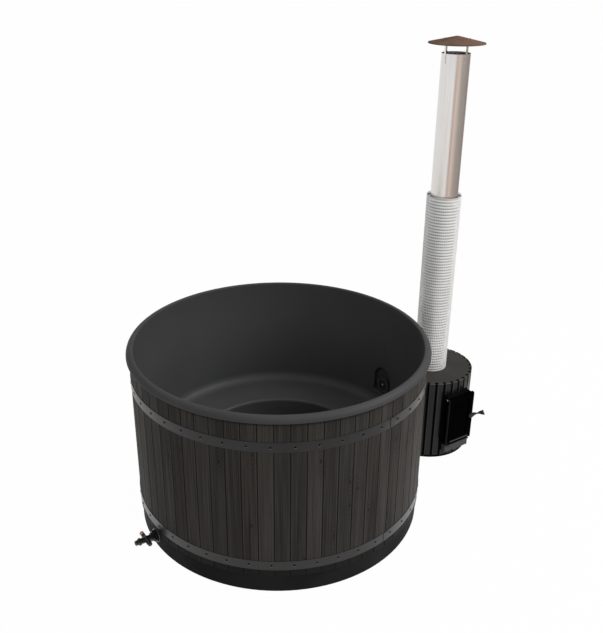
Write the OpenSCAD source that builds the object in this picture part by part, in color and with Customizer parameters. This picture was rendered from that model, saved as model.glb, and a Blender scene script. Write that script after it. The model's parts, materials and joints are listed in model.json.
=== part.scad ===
// Round outdoor bathing tub. A moulded liner with a bench and a footwell sits in a ring
// of tongued wooden staves held by two steel bands. A wood-fired stove with a water
// jacket stands beside it, under a flue with a perforated guard and a rain cap.
// Origin: on the floor at the tub's axis. +X points to the stove, +Z is up.

/* [Tub] */
// Outside diameter over the staves
tub_d = 1510; // [1400:5:1700]
// Height from the floor to the top of the rim
tub_h = 976; // [900:2:1100]
// Wall thickness of the moulded liner
liner_t = 5; // [4:0.5:6]
// Radius of the rim's roll, which turns out and down from the top of the wall
roll_r = 28; // [24:0.5:32]
// Height of the bench above the floor
bench_z = 345; // [300:1:400]
// Width of the bench, from its edge to the wall
bench_w = 253; // [200:1:280]
// Height of the footwell's floor
well_z = 98; // [96:1:110]
// How much narrower the liner's wall is at the bench than at the rim
wall_taper = 22; // [15:1:30]

/* [Staves and skirt] */
// Number of staves round the tub
stave_count = 64; // [56:1:72]
// Thickness of a stave
stave_t = 14; // [12:0.5:16]
// Chamfer on the two outer edges of a stave
stave_chamfer = 2.5; // [1:0.5:4]
// Height of the plastic skirt under the staves
skirt_h = 99; // [94:1:110]
// Wall thickness of the skirt and its bottom
skirt_t = 5; // [3:0.5:8]
// How far the skirt stands back from the faces of the staves
skirt_inset = 6; // [4:0.5:8]

/* [Bands] */
// Width of a steel band
band_w = 51; // [40:1:60]
// Thickness of a steel band
band_t = 1.6; // [1.2:0.1:2.5]
// Middle height of the upper band
band_z_up = 818; // [700:1:840]
// Middle height of the lower band
band_z_low = 162; // [150:1:200]
// Number of screws in a band
screw_count = 44; // [32:1:52]
// Diameter of a screw's head
screw_head_d = 14; // [10:0.5:16]

/* [Water inlet] */
// Height of the upper water connection
hot_z = 474; // [466:1:474]
// Width of the arched recess round the inlet
recess_w = 147; // [135:1:160]
// Top of the arched recess
recess_top = 589; // [570:1:610]
// Bottom of the arched recess
recess_bot = 412; // [408:1:414]
// Diameter of the perforated inlet cover
cover_d = 110; // [100:1:112]
// Number of holes in the inlet cover
cover_holes = 24; // [16:1:28]
// Outside diameter of the water pipes
pipe_d = 40; // [36:1:42]
// Wall thickness of the water pipes
pipe_t = 3; // [2:0.5:4]

/* [Drain] */
// Height of the lower water connection and of the drain
low_z = 68; // [66:1:68]
// Outside diameter of the drain pipe
drain_d = 32; // [28:1:34]
// Diameter of the grey flange at the drain
drain_flange_d = 76; // [66:1:82]
// Bore through the drain valve
valve_bore = 18; // [14:1:19]
// Length of the drain valve's cross barrel
valve_bar = 80; // [70:1:90]

/* [Stove] */
// Outside diameter of the stove
stove_d = 498; // [480:2:520]
// Height of the stove's top plate
stove_h = 502; // [502:1:520]
// Gap between the staves and the stove
stove_gap = 87.5; // [84:0.5:100]
// Number of upright panels round the stove
panel_count = 33; // [30:1:36]
// Gap between two panels
panel_gap = 7; // [5:0.5:9]
// Depth of a panel's folded edges
panel_fold = 7; // [5:0.5:8]
// Direction that the fire door faces, in degrees from +X
door_az = -92.0; // [-95:0.1:-90]
// Inside radius of the fire chamber
fire_r = 190; // [180:1:194]

/* [Fire door] */
// Width of the door
door_w = 196; // [184:1:198]
// Height of the door
door_h = 305; // [295:1:310]
// Height of the door's bottom edge
door_z = 114.5; // [112:0.5:116]
// Thickness of the door's frame
door_t = 21; // [16:0.5:24]
// Distance from the stove's axis to the mouth of the neck
neck_y = 272; // [268:1:280]
// Width of the neck
neck_w = 178; // [170:1:178]
// Width of the frame's borders
border = 36; // [34:1:40]
// Length of the twisted part of the handle
grip_len = 92; // [60:1:100]
// Width of the handle's flat bar
grip_w = 30; // [20:1:32]
// How far the ash drawer can be pulled out
drawer_travel = 220; // [150:5:240]

/* [Flue] */
// Outside diameter of the flue pipe
flue_d = 150; // [140:1:152]
// Height of the flue pipe's top
flue_h = 2303; // [2100:1:2500]
// Height of the joint between the two flue pipes
flue_joint = 1490; // [1300:1:1520]
// Outside diameter of the heat guard
guard_d = 190; // [184:1:200]
// Height of the heat guard's top
guard_h = 1558; // [1540:1:1700]
// Diameter of the rain cap
cap_d = 294; // [260:1:320]
// Height of the rain cap's lower edge above the flue's top
cap_gap = 50; // [45:1:60]
// Rise of the rain cap's cone
cap_rise = 34; // [30:1:55]

/* [Hidden] */

$fn = 96;
eps = 0.01;
seat = 0.2;            // gap between two pieces that seat on each other
run_fit = 0.08;        // radial clearance of a running fit
free_fit = 0.4;        // clearance round a pipe that passes a wall
board_gap = 0.6;       // gap between two staves
seam_az = -119.8;      // direction of one seam between staves
screw_az = -126.5;     // direction of one screw in the bands
panel_az = -91.2;      // direction of one gap between the stove's panels

// ---- derived sizes of the tub
r_out = tub_d/2;
r_in = r_out - stave_t;
pitch = 360/stave_count;
liner_gap = 1;
wall_top = r_in - liner_gap - liner_t;
wall_low = wall_top - wall_taper;
brow_r = 8;            // radius of the rim's inner edge
roll_c = wall_top + brow_r;
lip_z = tub_h - roll_r;
lip_drop = 2;           // straight edge below the roll
stave_top = lip_z + 1;
brow_z = tub_h - brow_r;
bench_rise = 4;
cove_r = 55;
edge_r = 15;
well_fillet = 30;
well_taper = 8;
grille_r = 36;
bench_in = wall_low - bench_w;
well_r = bench_in - well_taper;
cove_z = bench_z + bench_rise + cove_r;
foam_gap = 0.5;
foam_r = r_in - foam_gap;
foam_top = tub_h - 120;
skirt_r = r_out - skirt_inset;
skirt_foot = 6;
plate_gap = 4.5;
plate_x = r_in - plate_gap - liner_t;
pipe_r = pipe_d/2;
drain_r = drain_d/2;
line_x = well_r - well_fillet - grille_r - 1;
sump_r = 26;
sump_z = low_z - pipe_r - 5;
collar_w = 5;          // width of a floor line's collar
inlet_in = 12;         // how far a floor line's mouth stands inside its sump
band_in = sqrt(pow(r_out, 2) + pow(r_out*tan(pitch/2) - stave_chamfer, 2)) + seat;
screw_r = 2;
screw_len = 10;
lap_len = 30;
lap_az = screw_az + (floor(screw_count/8) + 0.5)*360/screw_count;
lobes = 8;

// ---- derived sizes of the stove
stove_r = stove_d/2;
stove_x = r_out + stove_gap + stove_r;
sheet = 2;
top_t = 4;
base_z = 14;
tank_r = stove_r - 13;
tank_wall = 3;
tank_z = 24;
tank_top = stove_h - top_t - 0.5;
crown = 40;
flue_r = flue_d/2;
flue_t = 1;
collar_t = 3;
panel_pitch = 360/panel_count;
neck_h = door_h + 6;
neck_z = door_z - 2.5;
neck_wall = 4;
drawer_w = 164;
drawer_z = 58;
drawer_h = 44;
front_w = 178;
front_y = neck_y + 6;
chute_w = drawer_w + 6;
chute_z = drawer_z - 0.3;
chute_h = drawer_h + 7;
grate_z = chute_z + chute_h + 2;
grate_t = 6;
hinge_x = -(door_w/2 + 2.5);
hinge_y = -(neck_y + 5);
hinge_r = 4;
knuckle_r = 7;
latch_r = 5;
rebate = 6;
lug_h = 9;
door_back = neck_y + 1.5;
door_front = door_back + door_t;
latch_x = door_w/2 - border + rebate + latch_r + 1.5;
latch_z = door_z + door_h*0.51;
cam_len = neck_w/2 - neck_wall - latch_x - 2.6;
glass_t = 4;
guard_r = guard_d/2;
guard_t = 1.5;
cap_r = cap_d/2;
cap_t = 1.2;
leg_w = 12;
leg_t = 2;
strap_len = 49;        // how far a cap leg reaches down outside the flue
hook_len = 20;         // and inside it
foot_len = 26;         // length of its foot under the cap
cap_z = flue_h + cap_gap;
far = 1000;            // length of a cut that goes right through
notch_r = 7;
droop = 8;             // how far the door's handle hangs below level, in degrees
grip_twist = 137;      // and how far its bar is twisted
spigot_x = r_out + 50;
stub_x = r_out + 57;
hose_t = 4;
hose_x = r_out + 23;
hose_len = 60;
clamp_w = 10;
clamp_t = 1.2;

// ---- helpers
function arc(c, r, a, b, n = 8) = [for (i = [0:n]) let(t = a + (b - a)*i/n)
  [c[0] + r*cos(t), c[1] + r*sin(t)]];
function unit(v) = v/norm(v);
function right_of(a, b) = let(d = unit(b - a)) [d[1], -d[0]];
// the points of a line moved t to its right, with mitred corners
function beside(p, t) = [for (i = [0:len(p) - 1])
  let(j = max(i - 1, 0), k = min(i, len(p) - 2), m = right_of(p[j], p[j + 1]),
      n = right_of(p[k], p[k + 1]), u = unit(m + n)) p[i] + u*t/(u*m)];
function back(p) = [for (i = [len(p) - 1:-1:0]) p[i]];
function wall_at(z) = wall_low + wall_taper*(z - cove_z)/(brow_z - cove_z);
module along_x() { rotate([0, 90, 0]) children(); }
module at_inlet() { translate([plate_x, 0, hot_z]) rotate([0, -90, 0]) children(); }
module at_stove() { translate([stove_x, 0, 0]) children(); }
module at_door() { at_stove() rotate([0, 0, door_az + 90]) children(); }
module ring(r1, r0, h) { difference() { cylinder(r = r1, h = h);
  translate([0, 0, -1]) cylinder(r = r0, h = h + 2); } }
// a block of width w, from y0 out to y1 in front of the stove's axis
module block(w, y0, y1, z, h) { translate([-w/2, -y1, z]) cube([w, y1 - y0, h]); }

// ---- the liner's inner face, from the footwell's middle out and up to the rim
low_line = concat([[0, well_z]],
  arc([well_r - well_fillet, well_z + well_fillet], well_fillet, -90, 0, 6),
  arc([bench_in + edge_r, bench_z - edge_r], edge_r, 180, 90, 5),
  arc([wall_low - cove_r, cove_z], cove_r, -90, 0, 8));
inner_line = concat(low_line, [[wall_top, brow_z]]);
skin_line = concat(inner_line, arc([roll_c, brow_z], brow_r, 165, 90, 5),
  arc([roll_c, lip_z], roll_r, 81, 0, 9), [[roll_c + roll_r, lip_z - lip_drop]]);

module at_sumps() { for (s = [-1, 1]) translate([s*line_x, 0, 0]) children(); }
// a round bar along a floor line: s is 1 towards the stove, -1 to the drain
module floor_pipe(s, r, len, from = 0) {
  translate([s*(line_x + from), 0, low_z]) rotate([0, s*90, 0]) cylinder(r = r, h = len);
}
module bath_space() {
  rotate_extrude($fn = 180) polygon(concat(inner_line,
    [[wall_top, tub_h + 50], [0, tub_h + 50]]));
}
// the arched outline of the inlet's recess, drawn in by n all round
module arch_shape(n = 0) {
  w = recess_w - 2*n;
  c = 16;
  b = recess_bot + n;
  top = recess_top - recess_w/2;
  translate([-w/2, b + c]) square([w, top - b - c]);
  translate([-w/2 + c, b]) square([w - 2*c, c + 1]);
  for (s = [-1, 1]) translate([s*(w/2 - c), b + c]) circle(r = c);
  translate([0, top]) circle(r = w/2);
}
module arch_block(n, x0, x1) {
  translate([x0, 0, 0]) rotate([90, 0, 90]) linear_extrude(x1 - x0) arch_shape(n);
}
module liner() {
  color([0.20, 0.205, 0.215]) difference() {
    union() {
      rotate_extrude($fn = 180) polygon(concat(skin_line, back(beside(skin_line, liner_t))));
      difference() {
        arch_block(0, wall_low - 40, plate_x + liner_t);
        bath_space();
      }
      at_sumps() translate([0, 0, sump_z - liner_t])
        cylinder(r = sump_r + liner_t, h = well_z - sump_z + liner_t/2);
    }
    arch_block(liner_t, wall_low - 60, plate_x);
    translate([plate_x - 1, 0, hot_z]) along_x() cylinder(r = pipe_r + free_fit, h = 20);
    at_sumps() translate([0, 0, sump_z]) cylinder(r = sump_r, h = far);
    floor_pipe(1, pipe_r + free_fit, sump_r + 2*liner_t);
    floor_pipe(-1, drain_r + free_fit, sump_r + 2*liner_t);
  }
}
module insulation() {
  foam_line = concat(low_line, [[wall_at(foam_top), foam_top]]);
  color([0.93, 0.88, 0.70]) difference() {
    rotate_extrude($fn = 180) polygon(concat([[0, skirt_t + foam_gap],
      [foam_r, skirt_t + foam_gap], [foam_r, foam_top]],
      back(beside(foam_line, liner_t + foam_gap))));
    arch_block(-foam_gap, wall_low - 60, r_in + 5);
    for (s = [-1, 1]) {
      translate([s*line_x, 0, sump_z - liner_t - foam_gap])
        cylinder(r = sump_r + liner_t + foam_gap, h = well_z - sump_z);
      floor_pipe(s, pipe_r + collar_w + 1, r_out - line_x);
      translate([s*(skirt_r - 14), 0, low_z]) along_x() cylinder(r = 34, h = 30, center = true);
    }
  }
}
module base_skirt() {
  color([0.12, 0.12, 0.125]) difference() {
    rotate_extrude($fn = 180) polygon([[0, 0], [skirt_r - skirt_foot, 0],
      [skirt_r - 1.5, 1.5], [skirt_r, skirt_foot], [skirt_r, skirt_h],
      [r_in + seat, skirt_h], [r_in + seat, skirt_h - skirt_t],
      [skirt_r - skirt_t, skirt_h - 2*skirt_t], [skirt_r - skirt_t, skirt_t],
      [0, skirt_t]]);
    translate([skirt_r, 0, low_z]) along_x() cylinder(r = pipe_r + free_fit, h = 40, center = true);
    translate([-skirt_r, 0, low_z]) along_x() cylinder(r = drain_r + free_fit, h = 40, center = true);
  }
}
function half_w(x) = x*tan(pitch/2) - board_gap/2;
module stave_section() {
  m = (r_in + r_out)/2 - 0.5;
  t = 2;
  g = t + 0.4;
  deep = 5;
  d = deep + 0.8;
  k = tan(pitch/2);      // the tongue and the groove stand square to the seam
  c = stave_chamfer;
  polygon([[r_in, -half_w(r_in)],
    [m - g, -half_w(m - g)], [m - g + d*k, -half_w(m - g) + d],
    [m + g + d*k, -half_w(m + g) + d], [m + g, -half_w(m + g)],
    [r_out - c, -half_w(r_out - c)], [r_out, -half_w(r_out) + c],
    [r_out, half_w(r_out) - c], [r_out - c, half_w(r_out - c)],
    [m + t, half_w(m + t)], [m + t - deep*k, half_w(m + t) + deep],
    [m - t - deep*k, half_w(m - t) + deep], [m - t, half_w(m - t)], [r_in, half_w(r_in)]]);
}
module staves() {
  z0 = skirt_h + seat;
  color([0.19, 0.18, 0.17]) difference() {
    for (i = [0:stave_count - 1]) rotate([0, 0, seam_az + (i + 0.5)*pitch])
      translate([0, 0, z0]) linear_extrude(stave_top - z0) stave_section();
    translate([r_out, 0, hot_z]) along_x() cylinder(r = pipe_r + 1, h = 60, center = true);
    translate([-r_out, 0, low_z]) along_x()
      cylinder(r = drain_flange_d/2 + 6, h = 80, center = true);
    screw_places() cylinder(r = screw_r + 0.1, h = 2*screw_len + 4, center = true);
  }
}
// every screw's place on the faces of both bands, looking outwards along +Z
module screw_places() {
  for (z = [band_z_up, band_z_low], i = [0:screw_count - 1])
    rotate([0, 0, screw_az + i*360/screw_count])
      translate([band_in + band_t, 0, z]) along_x() children();
}
module band(z) {
  color([0.23, 0.23, 0.235]) difference() {
    union() {
      translate([0, 0, z - band_w/2]) ring(band_in + band_t, band_in, band_w, $fn = 180);
      rotate([0, 0, lap_az]) translate([0, 0, z - band_w/2 + 1])
        rotate_extrude(angle = lap_len/band_in*180/PI, $fn = 180)
          translate([band_in + band_t - 0.2, 0]) square([band_t + 0.2, band_w - 2]);
    }
    for (i = [0:screw_count - 1]) rotate([0, 0, screw_az + i*360/screw_count])
      translate([band_in, 0, z]) along_x() cylinder(r = screw_r + 0.25, h = 20, center = true, $fn = 24);
  }
}
module upper_band() { band(band_z_up); }
module lower_band() { band(band_z_low); }
module band_screws() {
  r = screw_head_d/2;
  color([0.10, 0.10, 0.10]) screw_places() {
    translate([0, 0, -screw_len]) cylinder(r = screw_r, h = screw_len + 0.1, $fn = 24);
    translate([0, 0, 0.1]) cylinder(r = r, h = 0.9, $fn = 24);
    translate([0, 0, 1]) cylinder(r1 = r, r2 = r - 2, h = 1.3, $fn = 24);
  }
}

// ---- water inlet in the arched recess
cover_h = 13;
module inlet_cover() {
  r = cover_d/2;
  color([0.10, 0.10, 0.105]) at_inlet() difference() {
    rotate_extrude() polygon([[3.2, cover_h - 3], [r - 2.5, cover_h - 3], [r - 2.5, seat],
      [r, seat], [r, cover_h - 3], [r - 1, cover_h - 1], [r - 3, cover_h],
      [16, cover_h], [14, cover_h - 1], [3.2, cover_h - 1]]);
    for (i = [0:cover_holes - 1]) rotate([0, 0, i*360/cover_holes])
      translate([r - 9, 0, cover_h - 5]) cylinder(d = 6, h = 10, $fn = 24);
    for (i = [0:7]) rotate([0, 0, (i + 0.5)*45]) translate([r - 6, -8, -1]) cube([10, 16, 6]);
  }
}
module cover_screw() {
  color([0.80, 0.80, 0.80]) at_inlet() translate([0, 0, cover_h - 1 + 0.1]) rotate_extrude($fn = 32)
    polygon([[0, -11], [2.4, -11], [2.4, 0], [7, 0], [7, 1.2], [5, 3], [2.2, 3.4],
      [2.0, 2.2], [0, 2.2]]);
}
module hot_fitting() {
  color([0.75, 0.75, 0.76]) at_inlet() {
    difference() {
      union() {
        translate([0, 0, seat]) cylinder(r = 30, h = 4);
        translate([0, 0, plate_x - spigot_x]) cylinder(r = pipe_r, h = spigot_x - plate_x + 1);
      }
      translate([0, 0, plate_x - spigot_x - 1]) cylinder(r = pipe_r - pipe_t, h = 100);
    }
    difference() {
      translate([-pipe_r + 1, -5, seat]) cube([2*pipe_r - 2, 10, 4]);
      translate([0, 0, -5]) cylinder(r = 2.4 + run_fit, h = 20, $fn = 32);
    }
  }
}
washer_t = 2.5;
washer_x = r_out + 1;
module hex_nut(r, flat, h) {
  difference() {
    cylinder(d = flat/cos(30), h = h, $fn = 6);
    translate([0, 0, -1]) cylinder(r = r, h = h + 2);
  }
}
module hot_washer() {
  color([0.08, 0.08, 0.08]) translate([washer_x, 0, hot_z]) along_x()
    ring(pipe_r + 9, pipe_r + 0.3, washer_t);
}
module hot_nut() {
  color([0.70, 0.70, 0.71]) translate([washer_x + washer_t + seat, 0, hot_z]) along_x()
    hex_nut(pipe_r + 0.1, 2*pipe_r + 12, 11);
}

// ---- lines under the footwell's floor, from the liner's two sumps
module floor_line(s, r, x_end) {
  difference() {
    union() {
      floor_pipe(s, r, x_end - line_x - inlet_in, inlet_in);
      floor_pipe(s, r + collar_w, collar_w, sump_r + liner_t + seat);
    }
    floor_pipe(s, r - pipe_t, x_end);
  }
}
module return_line() {
  color([0.75, 0.75, 0.76]) floor_line(1, pipe_r, spigot_x);
}
module return_nut() {
  color([0.70, 0.70, 0.71]) translate([skirt_r + 0.5, 0, low_z]) along_x()
    hex_nut(pipe_r + 0.1, 2*pipe_r + 12, 11);
}
module drain_line() {
  color([0.30, 0.30, 0.31]) floor_line(-1, drain_r, skirt_r + 26);
}
module floor_grilles() {
  z = well_z + seat + 6;
  color([0.12, 0.12, 0.12]) at_sumps() difference() {
    union() {
      translate([0, 0, z]) cylinder(r = grille_r, h = 2.5);
      translate([0, 0, well_z + seat]) ring(grille_r, grille_r - 2, z - well_z - seat + 0.2);
    }
    for (k = [8, 17, 26], i = [0:k/8*6 - 1]) rotate([0, 0, i*360/(k/8*6)])
      translate([k, 0, z - 2]) cylinder(r = 2, h = 8, $fn = 24);
  }
}

// ---- drain fittings outside the skirt
module at_drain() { translate([-skirt_r, 0, low_z]) rotate([0, -90, 0]) children(); }
nut_z = 4.8;
nut_h = 20;
body_z = nut_z + nut_h + 1;
ball_z = 59;
ball_r = 14;
barrel_r = 11;
body_end = ball_z + 27;
tail_len = 32;
knob_len = 21;
end_ring_h = 13;
module drain_flange() {
  color([0.55, 0.54, 0.52]) at_drain() translate([0, 0, 0.4]) difference() {
    union() {
      cylinder(d = drain_flange_d, h = 3);
      cylinder(r = drain_r + 10, h = 4);
    }
    translate([0, 0, -1]) cylinder(r = drain_r + 0.3, h = 8);
  }
}
module drain_nut() {
  r = drain_r + 9;
  color([0.06, 0.06, 0.06]) at_drain() translate([0, 0, nut_z]) difference() {
    union() {
      cylinder(r = r, h = nut_h);
      cylinder(r = r + 9, h = 5);
      for (i = [0:lobes - 1]) rotate([0, 0, i*360/lobes]) translate([r, 0, 0])
        cylinder(r = 4.5, h = nut_h - 3, $fn = 32);
    }
    translate([0, 0, -1]) cylinder(r = drain_r + 0.1, h = nut_h + 2);
  }
}
module valve_body() {
  color([0.05, 0.05, 0.055]) at_drain() difference() {
    union() {
      translate([0, 0, body_z]) cylinder(r = drain_r + 6, h = 9);
      translate([0, 0, body_z]) cylinder(r = 16, h = body_end - body_z - 4);
      translate([0, 0, body_end - 10]) cylinder(r = 13, h = 10);
      translate([0, 0, ball_z]) sphere(r = ball_r + 5);
      translate([0, -valve_bar/2 + 10, ball_z]) rotate([-90, 0, 0])
        cylinder(r = barrel_r, h = valve_bar - 10);
      translate([0, -valve_bar/2 + 10, ball_z]) rotate([-90, 0, 0]) cylinder(r = barrel_r + 2, h = 6);
    }
    // socket for the drain pipe, the water way, the ball's seat and the spindle's bore
    translate([0, 0, body_z - 1]) cylinder(r = drain_r + 0.1, h = 4);
    translate([0, 0, body_z - 1]) cylinder(d = valve_bore, h = 100);
    translate([0, 0, ball_z]) sphere(r = ball_r + run_fit);
    translate([0, 0, ball_z]) rotate([90, 0, 0]) cylinder(r = 6 + run_fit, h = 100);
  }
}
module valve_ball() {
  color([0.75, 0.75, 0.76]) at_drain() difference() {
    union() {
      translate([0, 0, ball_z]) sphere(r = ball_r);
      translate([0, 0, ball_z]) rotate([90, 0, 0]) cylinder(r = 6, h = valve_bar/2 - 4);
    }
    translate([0, 0, ball_z]) rotate([0, 90, 0]) cylinder(d = valve_bore - 1, h = 60, center = true);
  }
}
module valve_knob() {
  y = valve_bar/2 - 10 + 0.5;
  color([0.05, 0.05, 0.055]) at_drain() translate([0, -y, ball_z]) rotate([90, 0, 0]) difference() {
    rotate_extrude() polygon([[0, 0], [barrel_r + 2, 0], [barrel_r + 2, 5], [barrel_r, 6.5],
      [barrel_r, knob_len - 3], [barrel_r - 3, knob_len], [0, knob_len]]);
    translate([0, 0, -1]) cylinder(r = 6 + 0.05, h = 8.5);
    for (i = [0:lobes - 1]) rotate([0, 0, (i + 0.5)*360/lobes]) translate([barrel_r + 1, 0, 8])
      cylinder(r = 2.2, h = knob_len, $fn = 24);
  }
}
module valve_end_cap() {
  color([0.92, 0.92, 0.90]) at_drain() translate([0, valve_bar/2 + seat, ball_z])
    rotate([-90, 0, 0]) { cylinder(r = 6, h = end_ring_h + 2); cylinder(r = barrel_r, h = 3.5); }
}
module valve_end_ring() {
  color([0.87, 0.42, 0.28]) at_drain() translate([0, valve_bar/2 + 3.5 + 2*seat, ball_z])
    rotate([-90, 0, 0]) ring(barrel_r, 6 + 0.15, end_ring_h);
}
module outlet_tail() {
  color([0.05, 0.05, 0.055]) at_drain() translate([0, 0, body_end + seat]) difference() {
    union() {
      rotate_extrude() polygon([[0, 0], [15.5, 0], [17.5, 3], [17.5, 14], [14, 19], [13, 20],
        [13, tail_len], [0, tail_len]]);
      for (i = [0:9]) rotate([0, 0, i*36]) translate([17.3, 0, 4]) cylinder(r = 1.8, h = 9, $fn = 16);
    }
    translate([0, 0, -1]) cylinder(d = valve_bore, h = 50);
  }
}

// ---- hoses and clamps between the tub and the stove
module at_pipes() {
  for (z = [hot_z, low_z]) translate([0, 0, z]) along_x() children();
}
module water_hoses() {
  color([0.07, 0.07, 0.07]) at_pipes() translate([0, 0, hose_x])
    ring(pipe_r + 0.2 + hose_t, pipe_r + 0.2, hose_len);
}
module hose_clamps() {
  r = pipe_r + 0.2 + hose_t + 0.1;
  color([0.70, 0.71, 0.72]) at_pipes() for (q = [6, hose_len - 6 - clamp_w])
    translate([0, 0, hose_x + q]) difference() {
      union() {
        cylinder(r = r + clamp_t, h = clamp_w);
        translate([-r - 7, -6, 0]) cube([8, 12, clamp_w]);
        translate([-r - 4.5, -9, clamp_w/2]) rotate([-90, 0, 0]) cylinder(r = 2.5, h = 18, $fn = 24);
      }
      translate([0, 0, -1]) cylinder(r = r, h = clamp_w + 2);
    }
}

// ---- stove
module stove_base() {
  color([0.05, 0.05, 0.05]) at_stove() {
    cylinder(r = stove_r, h = 4);
    ring(stove_r - 2, stove_r - 5, base_z);
    ring(fire_r + 10, fire_r, tank_z - seat);
  }
}
// a panel is a shallow channel: a face with two edges folded in
module panel_section() {
  a = panel_pitch/2 - panel_gap/2/stove_r*180/PI;
  hw = stove_r*sin(a);
  x = stove_r*cos(a);
  polygon([[x - panel_fold, -hw], [x, -hw], [stove_r, -hw*0.5], [stove_r, hw*0.5], [x, hw],
    [x - panel_fold, hw], [x - panel_fold, hw - sheet], [x - 1, hw - sheet],
    [stove_r - sheet, hw*0.5 - 0.5], [stove_r - sheet, -hw*0.5 + 0.5],
    [x - 1, -hw + sheet], [x - panel_fold, -hw + sheet]]);
}
module stove_panels() {
  z0 = base_z + seat;
  z1 = stove_h - top_t - seat;
  half = asin(neck_w/2/stove_r);
  color([0.16, 0.155, 0.15]) at_stove() difference() {
    for (i = [0:panel_count - 1])
      let(a = panel_az + (i + 0.5)*panel_pitch, d = ((a - door_az + 540) % 360) - 180)
        rotate([0, 0, a]) if (abs(d) < half) {
          translate([0, 0, z0]) linear_extrude(chute_z - 3 - z0) panel_section();
          translate([0, 0, neck_z + neck_h + 2]) linear_extrude(z1 - neck_z - neck_h - 2) panel_section();
        } else translate([0, 0, z0]) linear_extrude(z1 - z0) panel_section();
    for (z = [hot_z, low_z]) translate([-stove_r, 0, z]) along_x()
      cylinder(r = pipe_r + 3, h = stove_r, center = true);
    rotate([0, 0, door_az + 90]) block(neck_w + 3, fire_r, far, chute_z - neck_wall - 1.5,
      neck_z + neck_h - chute_z + neck_wall + 3);
  }
}
module stove_top() {
  color([0.26, 0.25, 0.235]) at_stove() translate([0, 0, stove_h - top_t]) difference() {
    cylinder(r = stove_r, h = top_t, $fn = 180);
    translate([0, 0, -1]) cylinder(r = flue_r + 1, h = 10);
    for (i = [0:panel_count - 1]) rotate([0, 0, panel_az + i*panel_pitch])
      translate([stove_r - notch_r, 0, -1]) { cylinder(r = notch_r, h = 10, $fn = 24);
        translate([0, -panel_gap/2, 0]) cube([2*notch_r, panel_gap, 10]); }
  }
}
module neck_shape(n, y0, y1) {
  w = neck_w - 2*n;
  z = neck_z + n;
  h = neck_h - 2*n;
  c = 16 - n/2;
  translate([0, -y0, 0]) rotate([90, 0, 0]) linear_extrude(y1 - y0) polygon([
    [-w/2 + c, z], [w/2 - c, z], [w/2, z + c], [w/2, z + h - 6], [w/2 - 6, z + h],
    [-w/2 + 6, z + h], [-w/2, z + h - 6], [-w/2, z + c]]);
}
module stove_tank() {
  r = tank_r;
  w = tank_wall;
  f = flue_r + 1;
  color([0.13, 0.13, 0.13]) difference() {
    union() {
      at_stove() rotate_extrude($fn = 180) difference() {
        polygon([[r, tank_z], [r, tank_top], [f, tank_top], [f, tank_top - crown],
          [fire_r, tank_top - crown], [fire_r, tank_z]]);
        polygon([[r - w, tank_z + w], [r - w, tank_top - w], [f + w, tank_top - w],
          [f + w, tank_top - crown + w], [fire_r + w, tank_top - crown + w], [fire_r + w, tank_z + w]]);
      }
      at_door() intersection() {
        union() {
          neck_shape(0, 100, neck_y);
          block(chute_w + 2*neck_wall, 100, stove_r - 4, chute_z - neck_wall, chute_h + 2*neck_wall);
        }
        difference() {
          translate([0, 0, tank_z]) cylinder(r = far, h = tank_top - tank_z);
          translate([0, 0, tank_z - 1]) cylinder(r = fire_r, h = tank_top);
        }
      }
      at_door() hinge_lugs();
      for (z = [hot_z, low_z]) translate([stub_x, 0, z]) along_x()
        cylinder(r = pipe_r, h = stove_x - tank_r - stub_x + 2.5);
      // the ledge that carries the grate, and the chamber's floor
      at_stove() {
        translate([0, 0, grate_z - 6]) difference() {
          ring(fire_r + 1, fire_r - 8, 5.8);
          rotate([0, 0, door_az + 90]) block(chute_w, fire_r/2, far, -1, 10);
        }
        translate([0, 0, chute_z - 4]) cylinder(r = fire_r + 1, h = 4);
      }
    }
    at_door() neck_shape(neck_wall, 100, neck_y + 1);
    at_door() block(chute_w, 100, stove_r + 20, chute_z, chute_h);
    for (z = [hot_z, low_z]) translate([stub_x - 1, 0, z]) along_x()
      cylinder(r = pipe_r - pipe_t, h = stove_x - tank_r - stub_x + 4.5);
  }
}
module lug(z) {
  translate([0, 0, z]) difference() {
    union() {
      translate([hinge_x, hinge_y, 0]) cylinder(r = knuckle_r, h = lug_h);
      translate([hinge_x - 4, -neck_y, 0]) cube([-neck_w/2 - hinge_x + 5, 20, lug_h]);
    }
    translate([hinge_x, hinge_y, -1]) cylinder(r = hinge_r + run_fit, h = lug_h + 2);
  }
}
lug_low = door_z + 4;
lug_high = door_z + door_h - 4 - lug_h;
module hinge_lugs() {
  lug(lug_low);
  lug(lug_high);
}
module hinge_rod() {
  color([0.75, 0.75, 0.76]) at_door() translate([hinge_x, hinge_y, 0]) {
    translate([0, 0, lug_low - 2]) cylinder(r = hinge_r, h = lug_high + lug_h - lug_low + 3);
    translate([0, 0, lug_high + lug_h + 0.2]) cylinder(r = 6, h = 3.5);
  }
}
module fire_grate() {
  r = fire_r - 2;
  color([0.10, 0.10, 0.10]) at_stove() rotate([0, 0, door_az + 90]) translate([0, 0, grate_z]) difference() {
    cylinder(r = r, h = grate_t);
    for (x = [-5:5]) let(l = 2*sqrt(pow(r - 24, 2) - pow(x*24, 2)))
      translate([x*24 - 5, -l/2, -1]) cube([10, l, grate_t + 2]);
  }
}
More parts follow.
